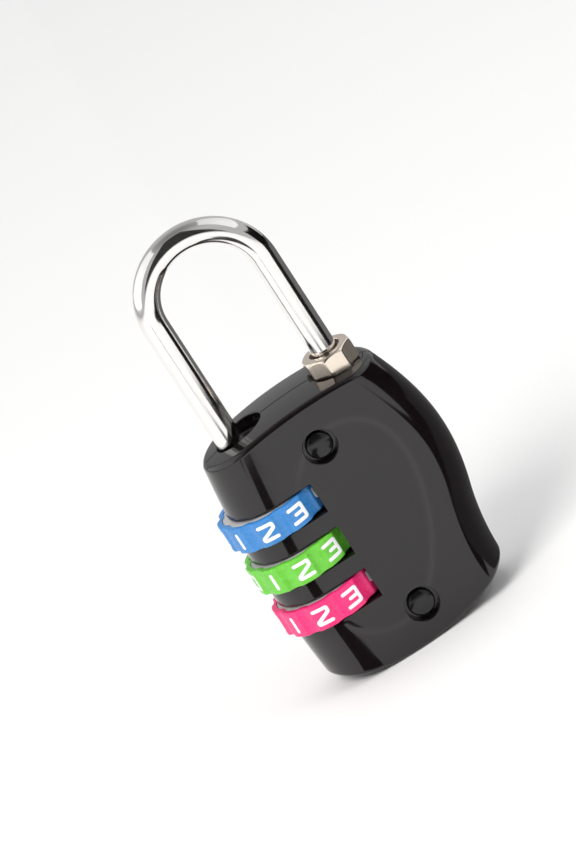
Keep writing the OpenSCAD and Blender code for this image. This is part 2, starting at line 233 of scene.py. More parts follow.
MATS = {
    # line: a lighter colour painted along the front's oval groove, a painted reflection
    "black_case": material("black_enamel_and_painted_reflection", (0.0062, 0.0042, 0.0047), 0.1, vary=0.15, rough_vary=0.02,
                           scale=260, bump=0.03, bump_scale=900, line=(0.016, 0.013, 0.014), Coat_Weight=0.2,
                           Coat_Roughness=0.06),
    "black_rivet": material("black_rivet", (0.005, 0.005, 0.0052), 0.16, rough_vary=0.04, scale=900,
                            bump=0.05, bump_scale=2500),
    "chrome_rod": material("chrome_plate", (0.86, 0.845, 0.83), 0.1, metal=1.0, vary=0.02, rough_vary=0.03,
                           scale=500, bump=0.015, stretch=(1, 1, 0.15)),
    "nickel": material("nickel_plate", (0.9, 0.79, 0.68), 0.2, metal=1.0, vary=0.08, rough_vary=0.06,
                       scale=700, bump=0.06, stretch=(1, 1, 0.3)),
    "blue": dial_plastic("blue_plastic", (0.047, 0.24, 0.6), 0.06, (0.0004, 0.0006, 0.001)),
    "green": dial_plastic("green_plastic", (0.155, 0.6, 0.053), 0.06, (0.0004, 0.001, 0.0003)),
    "pink": dial_plastic("pink_plastic", (0.97, 0.033, 0.205), 0.05, (0.001, 0.0003, 0.0004)),
    "hub_plastic": material("hub_plastic", (0.5, 0.49, 0.49), 0.42, vary=0.08, scale=600, bump=0.1,
                            bump_scale=2200),
    "digit_white": material("digit_paint", (0.9, 0.9, 0.93), 0.4, vary=0.03, scale=900, bump=0.06),
    "bush_plastic": material("bush_plastic", (0.02, 0.02, 0.021), 0.4, vary=0.2, scale=600, bump=0.1),
    "core_metal": material("core_metal", (0.22, 0.21, 0.21), 0.3, metal=0.7, vary=0.2, rough_vary=0.1,
                           scale=600, bump=0.15),
    "steel": material("turned_steel", (0.5, 0.5, 0.5), 0.3, metal=1.0, vary=0.1, rough_vary=0.08,
                      scale=500, bump=0.1, stretch=(1, 1, 8)),
}


# ---------------------------------------------------------------- mesh tools
def piece(name, verts, faces, body, mat, replaces, sharp):
    """A mesh object from points in millimetres, riding on a body; edges over sharp degrees stay crisp."""
    me = bpy.data.meshes.new(name)
    me.from_pydata((np.asarray(verts, float) * MM).tolist(), [], [tuple(map(int, f)) for f in faces])
    me.validate()
    me.update()
    me.shade_smooth()
    me.set_sharp_from_angle(angle=math.radians(sharp))
    me.materials.append(MATS[mat])
    o = bpy.data.objects.new(name, me)
    bpy.context.scene.collection.objects.link(o)
    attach(o, body)
    if replaces:
        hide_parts(*replaces)


def grid_faces(rows, cols, wrap=False):
    """Quads of a rows x cols grid of points; wrap joins the last column to the first."""
    j, i = np.meshgrid(np.arange(rows - 1), np.arange(cols if wrap else cols - 1), indexing="ij")
    a = j * cols + i
    b = j * cols + (i + 1) % cols
    return np.stack([a, b, b + cols, a + cols], -1).reshape(-1, 4)


def capped(rows, cols):
    """Faces of a closed tube of rows rings, with a cap at each end."""
    faces = grid_faces(rows, cols, wrap=True).tolist()
    faces.append(list(range(cols))[::-1])
    faces.append([(rows - 1) * cols + i for i in range(cols)])
    return faces


def lathe(profile, n, radial=None):
    """Points and faces of a closed profile [(r, z)] turned about z; radial(theta, r, z) bends the radius."""
    p = np.asarray(profile, float)
    th = np.linspace(0, 2 * math.pi, n, endpoint=False)
    r = np.repeat(p[:, :1], n, 1)
    z = np.repeat(p[:, 1:2], n, 1)
    t = np.repeat(th[None], len(p), 0)
    if radial:
        r = radial(t, r, z)
    pts = np.stack([r * np.cos(t), r * np.sin(t), z], -1).reshape(-1, 3)
    faces = grid_faces(len(p), n, wrap=True)
    last = (len(p) - 1) * n
    i = np.arange(n)
    close = np.stack([last + i, last + (i + 1) % n, (i + 1) % n, i], -1)
    return pts, np.vstack([faces, close])


def soft_min(a, b, k):
    """The smaller of two lengths, rounded over where they cross; a larger k turns more tightly."""
    return -np.log(np.exp(-k * a) + np.exp(-k * b)) / k


def rounded(points, radius, steps=5):
    """A polyline's inner corners rounded: points [(x, y)], radius one number or one per point."""
    pts = [Vector(p) for p in points]
    out = [pts[0]]
    for k in range(1, len(pts) - 1):
        a, b, c = pts[k - 1], pts[k], pts[k + 1]
        r = radius[k] if hasattr(radius, "__len__") else radius
        u, v = (a - b), (c - b)
        cut = min(r, u.length * 0.48, v.length * 0.48)
        if cut < 1e-6:
            out.append(b)
            continue
        p, q = b + u.normalized() * cut, b + v.normalized() * cut
        for s in range(steps + 1):
            t = s / steps
            out.append(p * (1 - t) ** 2 + b * 2 * t * (1 - t) + q * t * t)
    out.append(pts[-1])
    return [(p.x, p.y) for p in out]


def ring_profile(points, radii, steps=5):
    """A closed profile with each corner rounded to its own radius."""
    whole = [tuple((np.array(points[-1]) + np.array(points[0])) / 2)] + list(points)
    whole.append(whole[0])
    return rounded(whole, [0] + list(radii) + [0], steps)[:-1]


def at(pts, x=0.0, y=0.0, z=0.0):
    """Points moved to a place."""
    return np.asarray(pts, float) + np.array([x, y, z])


def lay_y(pts):
    """Turns z-axis points to run along -y."""
    p = np.asarray(pts, float)
    return np.stack([p[:, 0], -p[:, 2], p[:, 1]], -1)


# ---------------------------------------------------------------- case surface
def left_x(z):
    """The dial side's outline, from the dial axis."""
    return LEFT_X + (z - LEFT_Z) ** 2 / (2 * LEFT_R)


def right_x(z):
    """The far side's outline: a full shoulder, and below WAIST_Z a curve that turns the other way."""
    slope = (SHOULDER_Z - WAIST_Z) / SHOULDER_R
    waist = WAIST_X - slope * (WAIST_Z - z) + (WAIST_Z - z) ** 2 / (2 * WAIST_R)
    return np.where(z > WAIST_Z, SHOULDER_X - (z - SHOULDER_Z) ** 2 / (2 * SHOULDER_R), waist)


def top_z(x, y):
    """Height of the case's top: an arch across, a little crowned from front to back."""
    return CASE_H - (x - CREST_X) ** 2 / (2 * CREST_R) - CROWN * y * y / CROWN_SPREAD


def base_z(x):
    """Height of the case's arched base."""
    return (x - BASE_X) ** 2 / (2 * BASE_ARCH_R)


def section(z, e, n_left, n_face, n_end):
    """The case's plan at height z, inset by e: arrays of x (from the dial axis) and half thickness.

    It is an arc on the dial side, the face's wide arc and part of an ellipse at the far end.
    """
    left, right = left_x(z), float(right_x(z))
    d = FACE_X - left
    r = (2 * FACE_R * HALF_T - HALF_T**2 - d * d) / (2 * FACE_R - 2 * d)
    c = left + r
    u = math.atan2(FACE_X - c, FACE_R - HALF_T)
    cx = right - END_A
    b0 = HALF_T - (cx - FACE_X) ** 2 / (2 * FACE_R)
    cp = (cx - FACE_X) / FACE_R * END_A / b0
    v = math.asin((cx + END_A * cp - FACE_X) / FACE_R)
    b = (HALF_T - FACE_R + FACE_R * math.cos(v)) / math.sqrt(1 - cp * cp)
    crowd = 1.15  # above 1, points crowd towards the seam
    a = np.pi + (u - np.pi / 2) * np.linspace(0, 1, n_left) ** crowd
    w = np.linspace(u, -v, n_face + 1)[1:]
    p = math.acos(cp) * np.linspace(1, 0, n_end + 1)[1:] ** crowd
    nx, ny = np.cos(p) / END_A, np.sin(p) / b
    n = np.hypot(nx, ny)
    x = np.concatenate([c + (r - e) * np.cos(a), FACE_X - (FACE_R - e) * np.sin(w),
                        cx + END_A * np.cos(p) - e * nx / n])
    y = np.concatenate([(r - e) * np.sin(a), HALF_T - FACE_R + (FACE_R - e) * np.cos(w),
                        b * np.sin(p) - e * ny / n])
    y[0] = y[-1] = 0.0
    return x, y


def half_shell(front):
    """(points, faces) of one half as one closed solid, before its pockets are cut."""
    counts = [int(k * FINE) for k in (70, 170, 60)]  # along the dial side, the face and the far end
    # rows from base to top: inset, the part they are in and how far along it
    side = [(BASE_R * (1 - math.sin(a)), "base", a) for a in np.linspace(0, np.pi / 2, 8)]
    side += [(0.0, "wall", q) for q in np.linspace(0, 1, int(260 * FINE) + 1)[1:]]
    side += [(TOP_R * (1 - math.cos(a)), "top", a) for a in np.linspace(0, np.pi / 2, 10)[1:]]
    # where the rows of the base and top stand, from the mid-plane's line to the rim
    fractions = [0.0, 0.01, 0.02, 0.03, 0.045] + list(np.linspace(0.06, 1, int(26 * FINE) + 2)[:-1])

    def level(part, q, low, high):
        """Height of a row: up the base's rounding, the wall, then the top's rounding."""
        if part == "base":
            return low + BASE_R * (1 - math.cos(q))
        if part == "wall":
            return low + BASE_R + q * (high - low - TOP_R - BASE_R)
        return high - TOP_R + TOP_R * math.sin(q)

    def drawn_in(rim, height):
        """Rows from a line on the mid-plane out towards a rim."""
        x, y = rim
        inset = 1.2
        inner = x[0] + inset + (x - x[0]) * (1 - 2 * inset / (x[-1] - x[0]))
        rows = [(x * f + inner * (1 - f), y * f) for f in fractions]
        return [(u, v, height(u, v)) for u, v in rows]

    grid = drawn_in(section(BASE_LEVEL, BASE_R, *counts), lambda u, v: base_z(u))
    for e, part, q in side:
        x, y = section(level(part, q, BASE_LEVEL, TOP_LEVEL), e, *counts)
        grid.append((x, y, level(part, q, base_z(x), top_z(x, y))))
    grid += drawn_in(section(TOP_LEVEL, TOP_R, *counts), top_z)[::-1]
    x, y, z = np.array(grid).transpose(1, 0, 2)
    n, cols = x.shape
    pts = np.stack([x + DIAL_X, -y, z], -1)
    # the seam: both halves are eased where they meet
    normal = grid_normals(pts)
    shift = normal.copy()
    shift[..., 1] = 0
    seam = SEAM_DEPTH * np.clip(1 - y / SEAM_HALF, 0, 1) ** 2
    pts -= shift * seam[..., None]
    if front:
        pts -= normal * (LINE_DEPTH * groove_and_painted_reflection_weight(x, z) * (y > LINE_Y))[..., None]
    faces = grid_faces(n, cols).tolist()
    # the flat face on the mid-plane comes last
    loop = list(range(cols - 1)) + [j * cols + cols - 1 for j in range(n)]
    loop += [(n - 1) * cols + i for i in range(cols - 2, 0, -1)] + [j * cols for j in range(n - 1, 0, -1)]
    faces.append(loop)
    return pts.reshape(-1, 3), faces


def grid_normals(p):
    """Unit normals of a grid of points."""
    du = np.gradient(p, axis=1)
    dv = np.gradient(p, axis=0)
    n = np.cross(du, dv)
    return n / np.maximum(np.linalg.norm(n, axis=-1, keepdims=True), 1e-12)


def groove_and_painted_reflection_weight(x, z):
    """1 on the tilted oval line, falling off softly each side and fading out towards the windows; it sets the
    groove's depth and the strength of its painted reflection.
    """
    t = math.radians(OVAL_TILT)
    u = ((x - OVAL_X) * math.cos(t) + (z - OVAL_Z) * math.sin(t)) / OVAL_A
    v = (-(x - OVAL_X) * math.sin(t) + (z - OVAL_Z) * math.cos(t)) / OVAL_B
    k = OVAL_POWER
    s = (np.abs(u) ** k + np.abs(v) ** k + 1e-9) ** (1 / k)
    # distance to the line, from the field's own slope
    gu = np.abs(u) ** (k - 1) * s ** (1 - k) / OVAL_A
    gv = np.abs(v) ** (k - 1) * s ** (1 - k) / OVAL_B
    d = np.abs(s - 1) / np.maximum(np.hypot(gu, gv), 1e-6)
    fade = np.where(z > FADE_Z, np.clip((x - FADE_X) / FADE_W, 0, 1), 1)
    return np.exp(-((d / LINE_HALF) ** 2)) * fade


# ---------------------------------------------------------------- cutters
def solid(name, pts, faces):
    """A closed scratch mesh for cutting, in millimetres."""
    me = bpy.data.meshes.new(name)
    me.from_pydata(np.asarray(pts, float).tolist(), [], [tuple(map(int, f)) for f in faces])
    me.update()
    bm = bmesh.new()
    bm.from_mesh(me)
    bmesh.ops.recalc_face_normals(bm, faces=bm.faces)
    bm.to_mesh(me)
    bm.free()
    o = bpy.data.objects.new(name, me)
    bpy.context.scene.collection.objects.link(o)
    return o


def subtract(blank, cutters):
    """The blank's mesh without what the cutters take away; the blank and the cutters are removed."""
    for k, cutter in enumerate(cutters):
        mod = blank.modifiers.new(f"cut{k}", "BOOLEAN")
        mod.operation = "DIFFERENCE"
        mod.solver = "MANIFOLD"
        mod.object = cutter
    deps = bpy.context.evaluated_depsgraph_get()
    cut = bpy.data.meshes.new_from_object(blank.evaluated_get(deps))
    for o in cutters + [blank]:
        data = o.data
        bpy.data.objects.remove(o)
        bpy.data.meshes.remove(data)
    return cut


def prism(outlines, heights):
    """Points and faces of stacked rings: (n, 2) arrays and their heights, capped at both ends."""
    n = len(outlines[0])
    pts = np.vstack([np.column_stack([o, np.broadcast_to(h, n)]) for o, h in zip(outlines, heights)])
    return pts, capped(len(heights), n)


def circle(r, x=0.0, y=0.0):
    """An outline of 96 points."""
    t = np.linspace(0, 2 * np.pi, 96, endpoint=False)
    return np.column_stack([x + r * np.cos(t), y + r * np.sin(t)])


def stadium(r, half, x):
    """A circle pulled apart by half each way along x."""
    c = circle(r)
    c[:, 0] += np.where(c[:, 0] > 0, half, -half) + x
    return c


def flared(outline_at, surface, deep, over=1.5):
    """A plug from level deep up past a surface, its mouth rounded to EDGE.

    outline_at(grow) gives the outline grown outwards; surface(points) gives heights there.
    """
    outlines, heights = [outline_at(0.0)], [deep]
    for a in np.radians([0, 15, 30, 45, 60, 72]):
        o = outline_at(EDGE * (1 - math.cos(a)))
        outlines.append(o)
        heights.append(surface(o) - EDGE + EDGE * math.sin(a))
    o = outline_at(EDGE * (1 - math.cos(math.radians(72))) + 0.01)
    outlines.append(o)
    heights.append(surface(o) + over)
    return prism(outlines, heights)


def case_radius(z):
    """Distance from the dial axis to the case's skin for directions all round, as a function."""
    x, y = section(z, 0.0, 200, 200, 60)
    ang = np.arctan2(y, x)
    rad = np.hypot(x, y)
    order = np.argsort(ang)
    return lambda t: np.interp(np.abs(np.arctan2(np.sin(t), np.cos(t))), ang[order], rad[order])


def window_cutter(z):
    """The chamber of one dial, with eased edges where it breaks through the skin."""
    n = 360
    t = np.linspace(0, 2 * np.pi, n, endpoint=False)
    # how far inside the skin each ring stands, closest together where the edge is rounded
    backs = [4.0] + [EDGE * k for k in (2, 1, 0.75, 0.5, 0.25, 0.08)] + [0.0, -1.2]
    last = len(backs) - 1
    sides = []
    for sign in (-1, 1):
        edge_z = z + sign * WINDOW_H / 2
        skin = case_radius(edge_z)(t)
        rows = []
        for k, back in enumerate(backs):
            rise = 0.0
            if back < EDGE:
                q = max(back, EDGE * 0.06) / EDGE
                rise = EDGE * (1 - math.sqrt(1 - (1 - q) ** 2))
            # the limits differ a little from ring to ring, so that no two rings fall together
            r = np.minimum(np.maximum(skin - back, 1.0 + 0.1 * k), CHAMBER_R - 0.002 * (last - k))
            covered = skin > CHAMBER_R + 0.3
            lift = np.where(covered, 0.0, rise)
            rows.append(np.column_stack([r * np.cos(t), r * np.sin(t), edge_z + sign * lift]))
        sides.append(rows)
    rings = sides[0] + sides[1][::-1]
    return at(np.vstack(rings), x=DIAL_X), capped(len(rings), n)


def box(x0, x1, y0, y1, z0, z1):
    """Points and faces of an upright block."""
    pts = [(x, y, z) for z in (z0, z1) for y in (y0, y1) for x in (x0, x1)]
    faces = [(0, 2, 3, 1), (4, 5, 7, 6), (0, 1, 5, 4), (2, 6, 7, 3), (0, 4, 6, 2), (1, 3, 7, 5)]
    return np.array(pts, float), faces


def skin_y(x):
    """Height of the front face above the mid-plane at x from the dial axis."""
    return HALF_T - (x - FACE_X) ** 2 / (2 * FACE_R)


def case_cutters(front):
    """Every pocket of one half, as in the CAD part, but with the latch spring's channel square."""
    cuts = [window_cutter(z) for z, _ in DIALS.values()]

    def through_face(pts, faces):
        """Adds a plug that was made upright, laid over to point out of this half's face."""
        out = -1 if front else 1
        cuts.append((np.column_stack([pts[:, 0], out * pts[:, 2], pts[:, 1]]), faces))

    def top(outline):
        return top_z(outline[:, 0] - DIAL_X, outline[:, 1])

    def face(outline):
        return skin_y(outline[:, 0] - DIAL_X)

    for x, pockets in ((DIAL_X, (SPINDLE_BORE, SPINDLE_POCKET, CORE_POCKET)),
                       (HEEL_X, (HEEL_POCKET, ROD_BORE, STEM_BORE))):
        for r, floor, roof in pockets:
            cuts.append(prism([circle(r, x=x)] * 2, [floor, roof]))
    cuts.append(flared(lambda g: stadium(MOUTH[0] + g, MOUTH_HALF, MOUTH_X), top, MOUTH[1]))
    cuts.append(flared(lambda g: circle(NUT_SEAT[0] + g, x=HEEL_X), top, NUT_SEAT[1]))
    # the slots of the latch, its spring and the detent strip
    low, high = LATCH_Z, LATCH_Z + LATCH_H
    latch_end = LATCH_BACK + LATCH_TRAVEL + 0.2
    cuts.append(box(DIAL_X + 3, latch_end, -LATCH_HALF, LATCH_HALF, low - 0.05, high + 0.05))
    cuts.append(box(LATCH_BACK, SPRING_ENDS[1], -COIL_HALF, COIL_HALF, low - 0.03, high + 0.03))
    cuts.append(box(*DETENT_SLOT))
    r, deep = HEAD_SEAT if front else TAIL_SEAT
    for z in RIVET_Z:
        through_face(*flared(lambda g, z=z: circle(r + g, x=RIVET_X, y=z), face, deep))
        through_face(*prism([circle(RIVET_BORE_R, x=RIVET_X, y=z)] * 2, [-1, 7]))
    return cuts


def skin_normals(whole):
    """A function of a point: the uncut skin's smooth normal there, or None away from the skin."""
    on_skin = 0.004
    whole.calc_loop_triangles()
    verts = np.array([v.co[:] for v in whole.vertices])
    mid_face = len(whole.polygons) - 1
    tris = [t.vertices[:] for t in whole.loop_triangles if t.polygon_index != mid_face]
    tri = np.array(tris)
    fn = np.cross(verts[tri[:, 1]] - verts[tri[:, 0]], verts[tri[:, 2]] - verts[tri[:, 0]])
    vn = np.zeros_like(verts)
    for k in range(3):
        np.add.at(vn, tri[:, k], fn)
    vn /= np.maximum(np.linalg.norm(vn, axis=1, keepdims=True), 1e-12)
    tree = BVHTree.FromPolygons(verts.tolist(), tris)

    def normal_at(p):
        _, _, index, distance = tree.find_nearest(Vector(p), 0.01)
        if index is None or distance >= on_skin:
            return None
        # the corners' normals, blended by where the point is in its triangle
        a, b, c = tri[index]
        e0, e1, e2 = verts[b] - verts[a], verts[c] - verts[a], p - verts[a]
        d00, d01, d11 = e0 @ e0, e0 @ e1, e1 @ e1
        d20, d21 = e2 @ e0, e2 @ e1
        den = d00 * d11 - d01 * d01
        if abs(den) < 1e-18:
            return None
        wb = (d11 * d20 - d01 * d21) / den
        wc = (d00 * d21 - d01 * d20) / den
        n = vn[a] * (1 - wb - wc) + vn[b] * wb + vn[c] * wc
        return n / max(np.linalg.norm(n), 1e-9)

    return normal_at


def cut_shell(name, front, body, replaces):
    """One half of the case, cut, with the skin's own smooth normals kept through the cuts."""
    pts, faces = half_shell(front)
    if not front:
        pts = pts * np.array([1, -1, 1])
    blank = solid(name + "_blank", pts, faces)
    normal_at = skin_normals(blank.data)
    cut = subtract(blank, [solid(f"{name}_cut{k}", p, f) for k, (p, f) in enumerate(case_cutters(front))])
    cut.name = name
    # corners on the skin take its interpolated normals, the cut faces stay crisp
    cut.shade_smooth()
    co = np.array([v.co[:] for v in cut.vertices])
    near = [normal_at(p) for p in co]
    cut.set_sharp_from_angle(angle=math.radians(28))
    split = [c.vector[:] for c in cut.corner_normals]
    normals = []
    for poly in cut.polygons:
        pn = np.array(poly.normal)
        for li in poly.loop_indices:
            own = near[cut.loops[li].vertex_index]
            kept = own is not None and own @ pn > 0.9
            normals.append(own.tolist() if kept else split[li])
    cut.normals_split_custom_set(normals)
    if front:
        # the oval line's mask, stored for the material's painted reflection: a lighter colour along the
        # groove
        skin = np.array([n is not None for n in near])
        line = groove_and_painted_reflection_weight(co[:, 0] - DIAL_X, co[:, 2]) * (co[:, 1] < -LINE_Y) * skin
        cut.attributes.new("line", "FLOAT", "POINT").data.foreach_set("value", line.astype(np.float32))
    cut.transform(Matrix.Scale(MM, 4))
    cut.materials.clear()
    cut.materials.append(MATS["black_case"])
    o = bpy.data.objects.new(name, cut)
    bpy.context.scene.collection.objects.link(o)
    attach(o, body)
    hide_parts(*replaces)


cut_shell("front_shell", True, "case", ["front_case"])
cut_shell("rear_shell", False, "case", ["rear_case"])


# ---------------------------------------------------------------- shackle
def tube_rows(path, tangents, radii, n):
    """Rings round a path in the x-z plane."""
    t = np.linspace(0, 2 * np.pi, n, endpoint=False)
    pts = []
    for p, d, r in zip(path, tangents, radii):
        side = np.array([d[2], 0, -d[0]])
        pts.append(np.array(p) + r * (np.cos(t)[:, None] * side + np.sin(t)[:, None] * np.array([0, 1.0, 0])))
    return np.vstack(pts)


def shackle():
    """The bent rod as rings along its centre line, with the notch cut out of its toe leg."""
    mid = (DIAL_X + HEEL_X) / 2
    bow = (HEEL_X - DIAL_X) / 2
    path, tan, rad = [], [], []

    def ring(x, z, dx, dz, r):
        path.append((x, 0, z))
        tan.append((dx, 0, dz))
        rad.append(r)

    # the toe's rounded end, its leg and the bow
    for a in np.linspace(0.02, np.pi / 2, 8):
        z = TOE_END + TOE_ROUND * (1 - math.cos(a))
        ring(DIAL_X, z, 0, 1, ROD_R - TOE_ROUND + TOE_ROUND * math.sin(a))
    for z in np.linspace(TOE_END + 0.6, BOW_Z, 60):
        ring(DIAL_X, z, 0, 1, ROD_R)
    for a in np.linspace(0, np.pi, int(96 * FINE) + 2)[1:-1]:
        ring(mid - bow * math.cos(a), BOW_Z + bow * math.sin(a), math.sin(a), math.cos(a), ROD_R)
    # the heel leg, with the clip's groove near its end
    low, high = HEEL_END + 0.8, HEEL_END + 1.42
    down = [(z, ROD_R) for z in (BOW_Z, 40, 30, 20, 12, high)]
    down += [(high, CLIP_GROOVE_R), (low, CLIP_GROOVE_R), (low, ROD_R)]
    for z, r in down:
        ring(HEEL_X, z, 0, -1, r)
    for a in np.linspace(0, np.pi / 2 - 0.02, 6):
        z = HEEL_END + HEEL_ROUND - HEEL_ROUND * math.sin(a)
        ring(HEEL_X, z, 0, -1, ROD_R - HEEL_ROUND + HEEL_ROUND * math.cos(a))
    n = int(72 * FINE)
    pts = tube_rows(path, tan, rad, n)
    rod = solid("rod_blank", pts, capped(len(path), n))
    # the latch's notch in the toe leg, with rounded inner corners
    low, high = LATCH_Z - 1.9, LATCH_Z + 0.3 + LATCH_H
    notch = ring_profile([(low, 0), (low, 3), (high, 3), (high, 0)], [0.25, 0, 0, 0.25])
    x0 = DIAL_X + ROD_R - NOTCH_DEPTH
    p, f = prism([np.array([(x0 + b, a) for a, b in notch])] * 2, [-3, 3])
    cut = subtract(rod, [solid("rod_cut", np.column_stack([p[:, 0], p[:, 2], p[:, 1]]), f)])
    cut.name = "shackle_rod"
    cut.shade_smooth()
    cut.set_sharp_from_angle(angle=math.radians(30))
    cut.transform(Matrix.Scale(MM, 4))
    cut.materials.clear()
    cut.materials.append(MATS["chrome_rod"])
    o = bpy.data.objects.new("shackle_rod", cut)
    bpy.context.scene.collection.objects.link(o)
    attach(o, "shackle")
    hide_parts("shackle")


shackle()


# ---------------------------------------------------------------- collar nut and bush
def collar():
    """The octagonal nut and the bush inside it."""
    apothem = NUT_R * math.cos(math.pi / 8)
    turn = math.radians(NUT_TURN)

    def flats(t, r, z):
        """Keeps a radius within the octagon, its corners a little rounded, above the seat."""
        a = np.mod(t - turn, np.pi / 4) - np.pi / 8
        edge = np.minimum(apothem / np.cos(a), NUT_R - 0.03)
        wide = (r > STEM_BORE[0]) & (z > NUT_SEAT[1] - 0.2)
        return np.where(wide, soft_min(r, edge, 30), r)

    # from the stem up over the flats and the chamfered top, and down the bore
    outer = [(2.7, 32.6), (2.7, 35.45), (2.74, 35.5), (2.8, 35.5), (3.0, 35.5), (3.3, 35.52), (3.5, 35.62),
             (3.56, 35.75), (3.6, 36.2), (3.6, 36.8), (3.6, 37.3), (3.6, 37.6), (3.58, 37.8), (3.52, 37.95),
             (3.46, 38.06), (3.4, 38.15), (3.33, 38.24), (3.25, 38.32), (3.15, 38.39), (3.03, 38.45),
             (2.9, 38.485), (2.75, 38.5), (2.6, 38.5), (2.4, 38.5), (2.27, 38.49), (2.19, 38.45),
             (2.15, 38.37), (2.15, 38.0), (2.15, 36), (2.15, 32.6)]
    pts, faces = lathe(outer, int(480 * FINE), flats)
    piece("collar_nut", at(pts, x=HEEL_X), faces, "case", "nickel", ["shackle_collar"], sharp=40)
    bush = ring_profile([(1.8, 32.6), (2.13, 32.6), (2.13, 37.9), (1.8, 37.9)], [0.02, 0.02, 0.1, 0.1])
    pts, faces = lathe(bush, 96)
    piece("collar_liner", at(pts, x=HEEL_X), faces, "case", "bush_plastic", ["collar_bush"],
          sharp=35)


collar()


# ---------------------------------------------------------------- rivets
def rivets():
    """Two rivets with low domed heads in front and flat tails behind."""
    for name, z in zip(("lower_rivet", "upper_rivet"), RIVET_Z):
        dome = [(0.02, 5.99)]
        for a in np.linspace(0.1, 1.0, 12):
            dome.append((1.66 * a, 5.99 - 0.33 * a**2.2))
        dome += [(1.73, 5.6), (1.78, 5.5), (1.8, 5.38), (1.8, 5.15), (1.1, 5.15), (1.1, -5.35), (1.75, -5.35),
                 (1.75, -5.7), (1.68, -5.84), (1.5, -5.95), (1.0, -5.99), (0.02, -6.0)]
        pts, faces = lathe(dome[::-1], 96)
        piece(name + "_head", at(lay_y(pts), x=RIVET_X, z=z), faces, "case", "black_rivet",
              [name], sharp=50)


rivets()


# ---------------------------------------------------------------- dials
def fluted(phase):
    """The radius kept outside the ten shallow hollows between the digits."""
    cx = DIAL_R + FLUTE_OUT

    def radial(t, r, z):
        a = np.mod(t - phase + np.pi / 10, np.pi / 5) - np.pi / 10
        disc = FLUTE_R**2 - (cx * np.sin(a)) ** 2
        hollow = cx * np.cos(a) - np.sqrt(np.maximum(disc, 0))
        hollow = np.where(disc > 0, hollow, 9.0) - 0.02
        return np.where(r > RIM_IN + 0.05, r + (soft_min(DIAL_R, hollow, 40) - DIAL_R), r)

    return radial


# the digits as lines through points: across from the middle, and up from the foot
GLYPHS = {
    0: [[(0, 1), (0.5, 1), (0.5, 0), (-0.5, 0), (-0.5, 1), (0.01, 1)]],
    1: [[(0, 1), (0, 0)]],
    2: [[(-0.5, 1), (0.5, 1), (0.5, 0.68), (-0.5, 0.17), (-0.5, 0), (0.5, 0)]],
    3: [[(-0.5, 1), (0.5, 1), (0.5, 0), (-0.5, 0)], [(-0.15, 0.5), (0.45, 0.5)]],
    4: [[(-0.36, 1), (-0.36, 0.42), (0.5, 0.42)], [(0.25, 1), (0.25, 0)]],
    5: [[(0.5, 1), (-0.5, 1), (-0.5, 0.52), (0.5, 0.52), (0.5, 0), (-0.5, 0)]],
    6: [[(0.5, 1), (-0.5, 1), (-0.5, 0), (0.5, 0), (0.5, 0.52), (-0.45, 0.52)]],
    7: [[(-0.5, 1), (0.5, 1), (0.5, 0.8), (-0.12, 0)]],
    8: [[(0, 1), (0.5, 1), (0.5, 0), (-0.5, 0), (-0.5, 1), (0.01, 1)], [(-0.45, 0.5), (0.45, 0.5)]],
    9: [[(0.5, 0.48), (-0.5, 0.48), (-0.5, 1), (0.5, 1), (0.5, 0), (-0.5, 0)]],
}
GLYPH_W, GLYPH_H, STROKE = 1.9, 1.93, 0.5


def stroke(points):
    """One line of a digit as a low ribbon with round ends: (across, up, height) points and faces."""
    line = rounded([(x * GLYPH_W, (y - 0.5) * GLYPH_H) for x, y in points], 0.16, 6)
    path = [np.array(line[0])]
    for p in line[1:]:
        if np.linalg.norm(np.array(p) - path[-1]) > 0.02:
            path.append(np.array(p))
    # fill long runs so that the ribbon can follow the dial
    dense = [path[0]]
    for a, b in zip(path, path[1:]):
        steps = max(1, int(np.linalg.norm(b - a) / 0.12))
        dense += [a + (b - a) * (k + 1) / steps for k in range(steps)]
    p = np.array(dense)
    d = np.gradient(p, axis=0)
    d /= np.linalg.norm(d, axis=1, keepdims=True)
    half = STROKE / 2
    caps = np.radians([82, 65, 45, 25])
    rows = [(p[0] - d[0] * half * math.sin(a), d[0], half * math.cos(a)) for a in caps]
    rows += [(c, t, half) for c, t in zip(p, d)]
    rows += [(p[-1] + d[-1] * half * math.sin(a), d[-1], half * math.cos(a)) for a in caps[::-1]]
    profile = [(-1, -0.06), (-1, 0.01), (-0.86, 0.028), (-0.6, 0.034), (0, 0.036), (0.6, 0.034),
               (0.86, 0.028), (1, 0.01), (1, -0.06)]
    pts = []
    for c, t, h in rows:
        n = np.array([-t[1], t[0]])
        pts += [(*(c + n * h * s), up) for s, up in profile]
    return np.array(pts), capped(len(rows), len(profile))


def digits(name, z, turn, body):
    """The ten digits of one dial, wrapped round it."""
    pts, faces = [], []
    count = 0
    for digit, lines in GLYPHS.items():
        angle = math.radians(-180 + 36 * digit + turn)
        for k, line in enumerate(lines):
            p, f = stroke(line)
            t = angle + p[:, 0] / DIAL_R
            r = DIAL_R + p[:, 2] - 0.004 * k - 0.012  # a second line lies a hair lower where it crosses
            pts.append(np.column_stack([DIAL_X + r * np.cos(t), r * np.sin(t), z + p[:, 1]]))
            faces += [[i + count for i in q] for q in f]
            count += len(p)
    piece(name + "_digits", np.vstack(pts), faces, body, "digit_white", [], sharp=50)


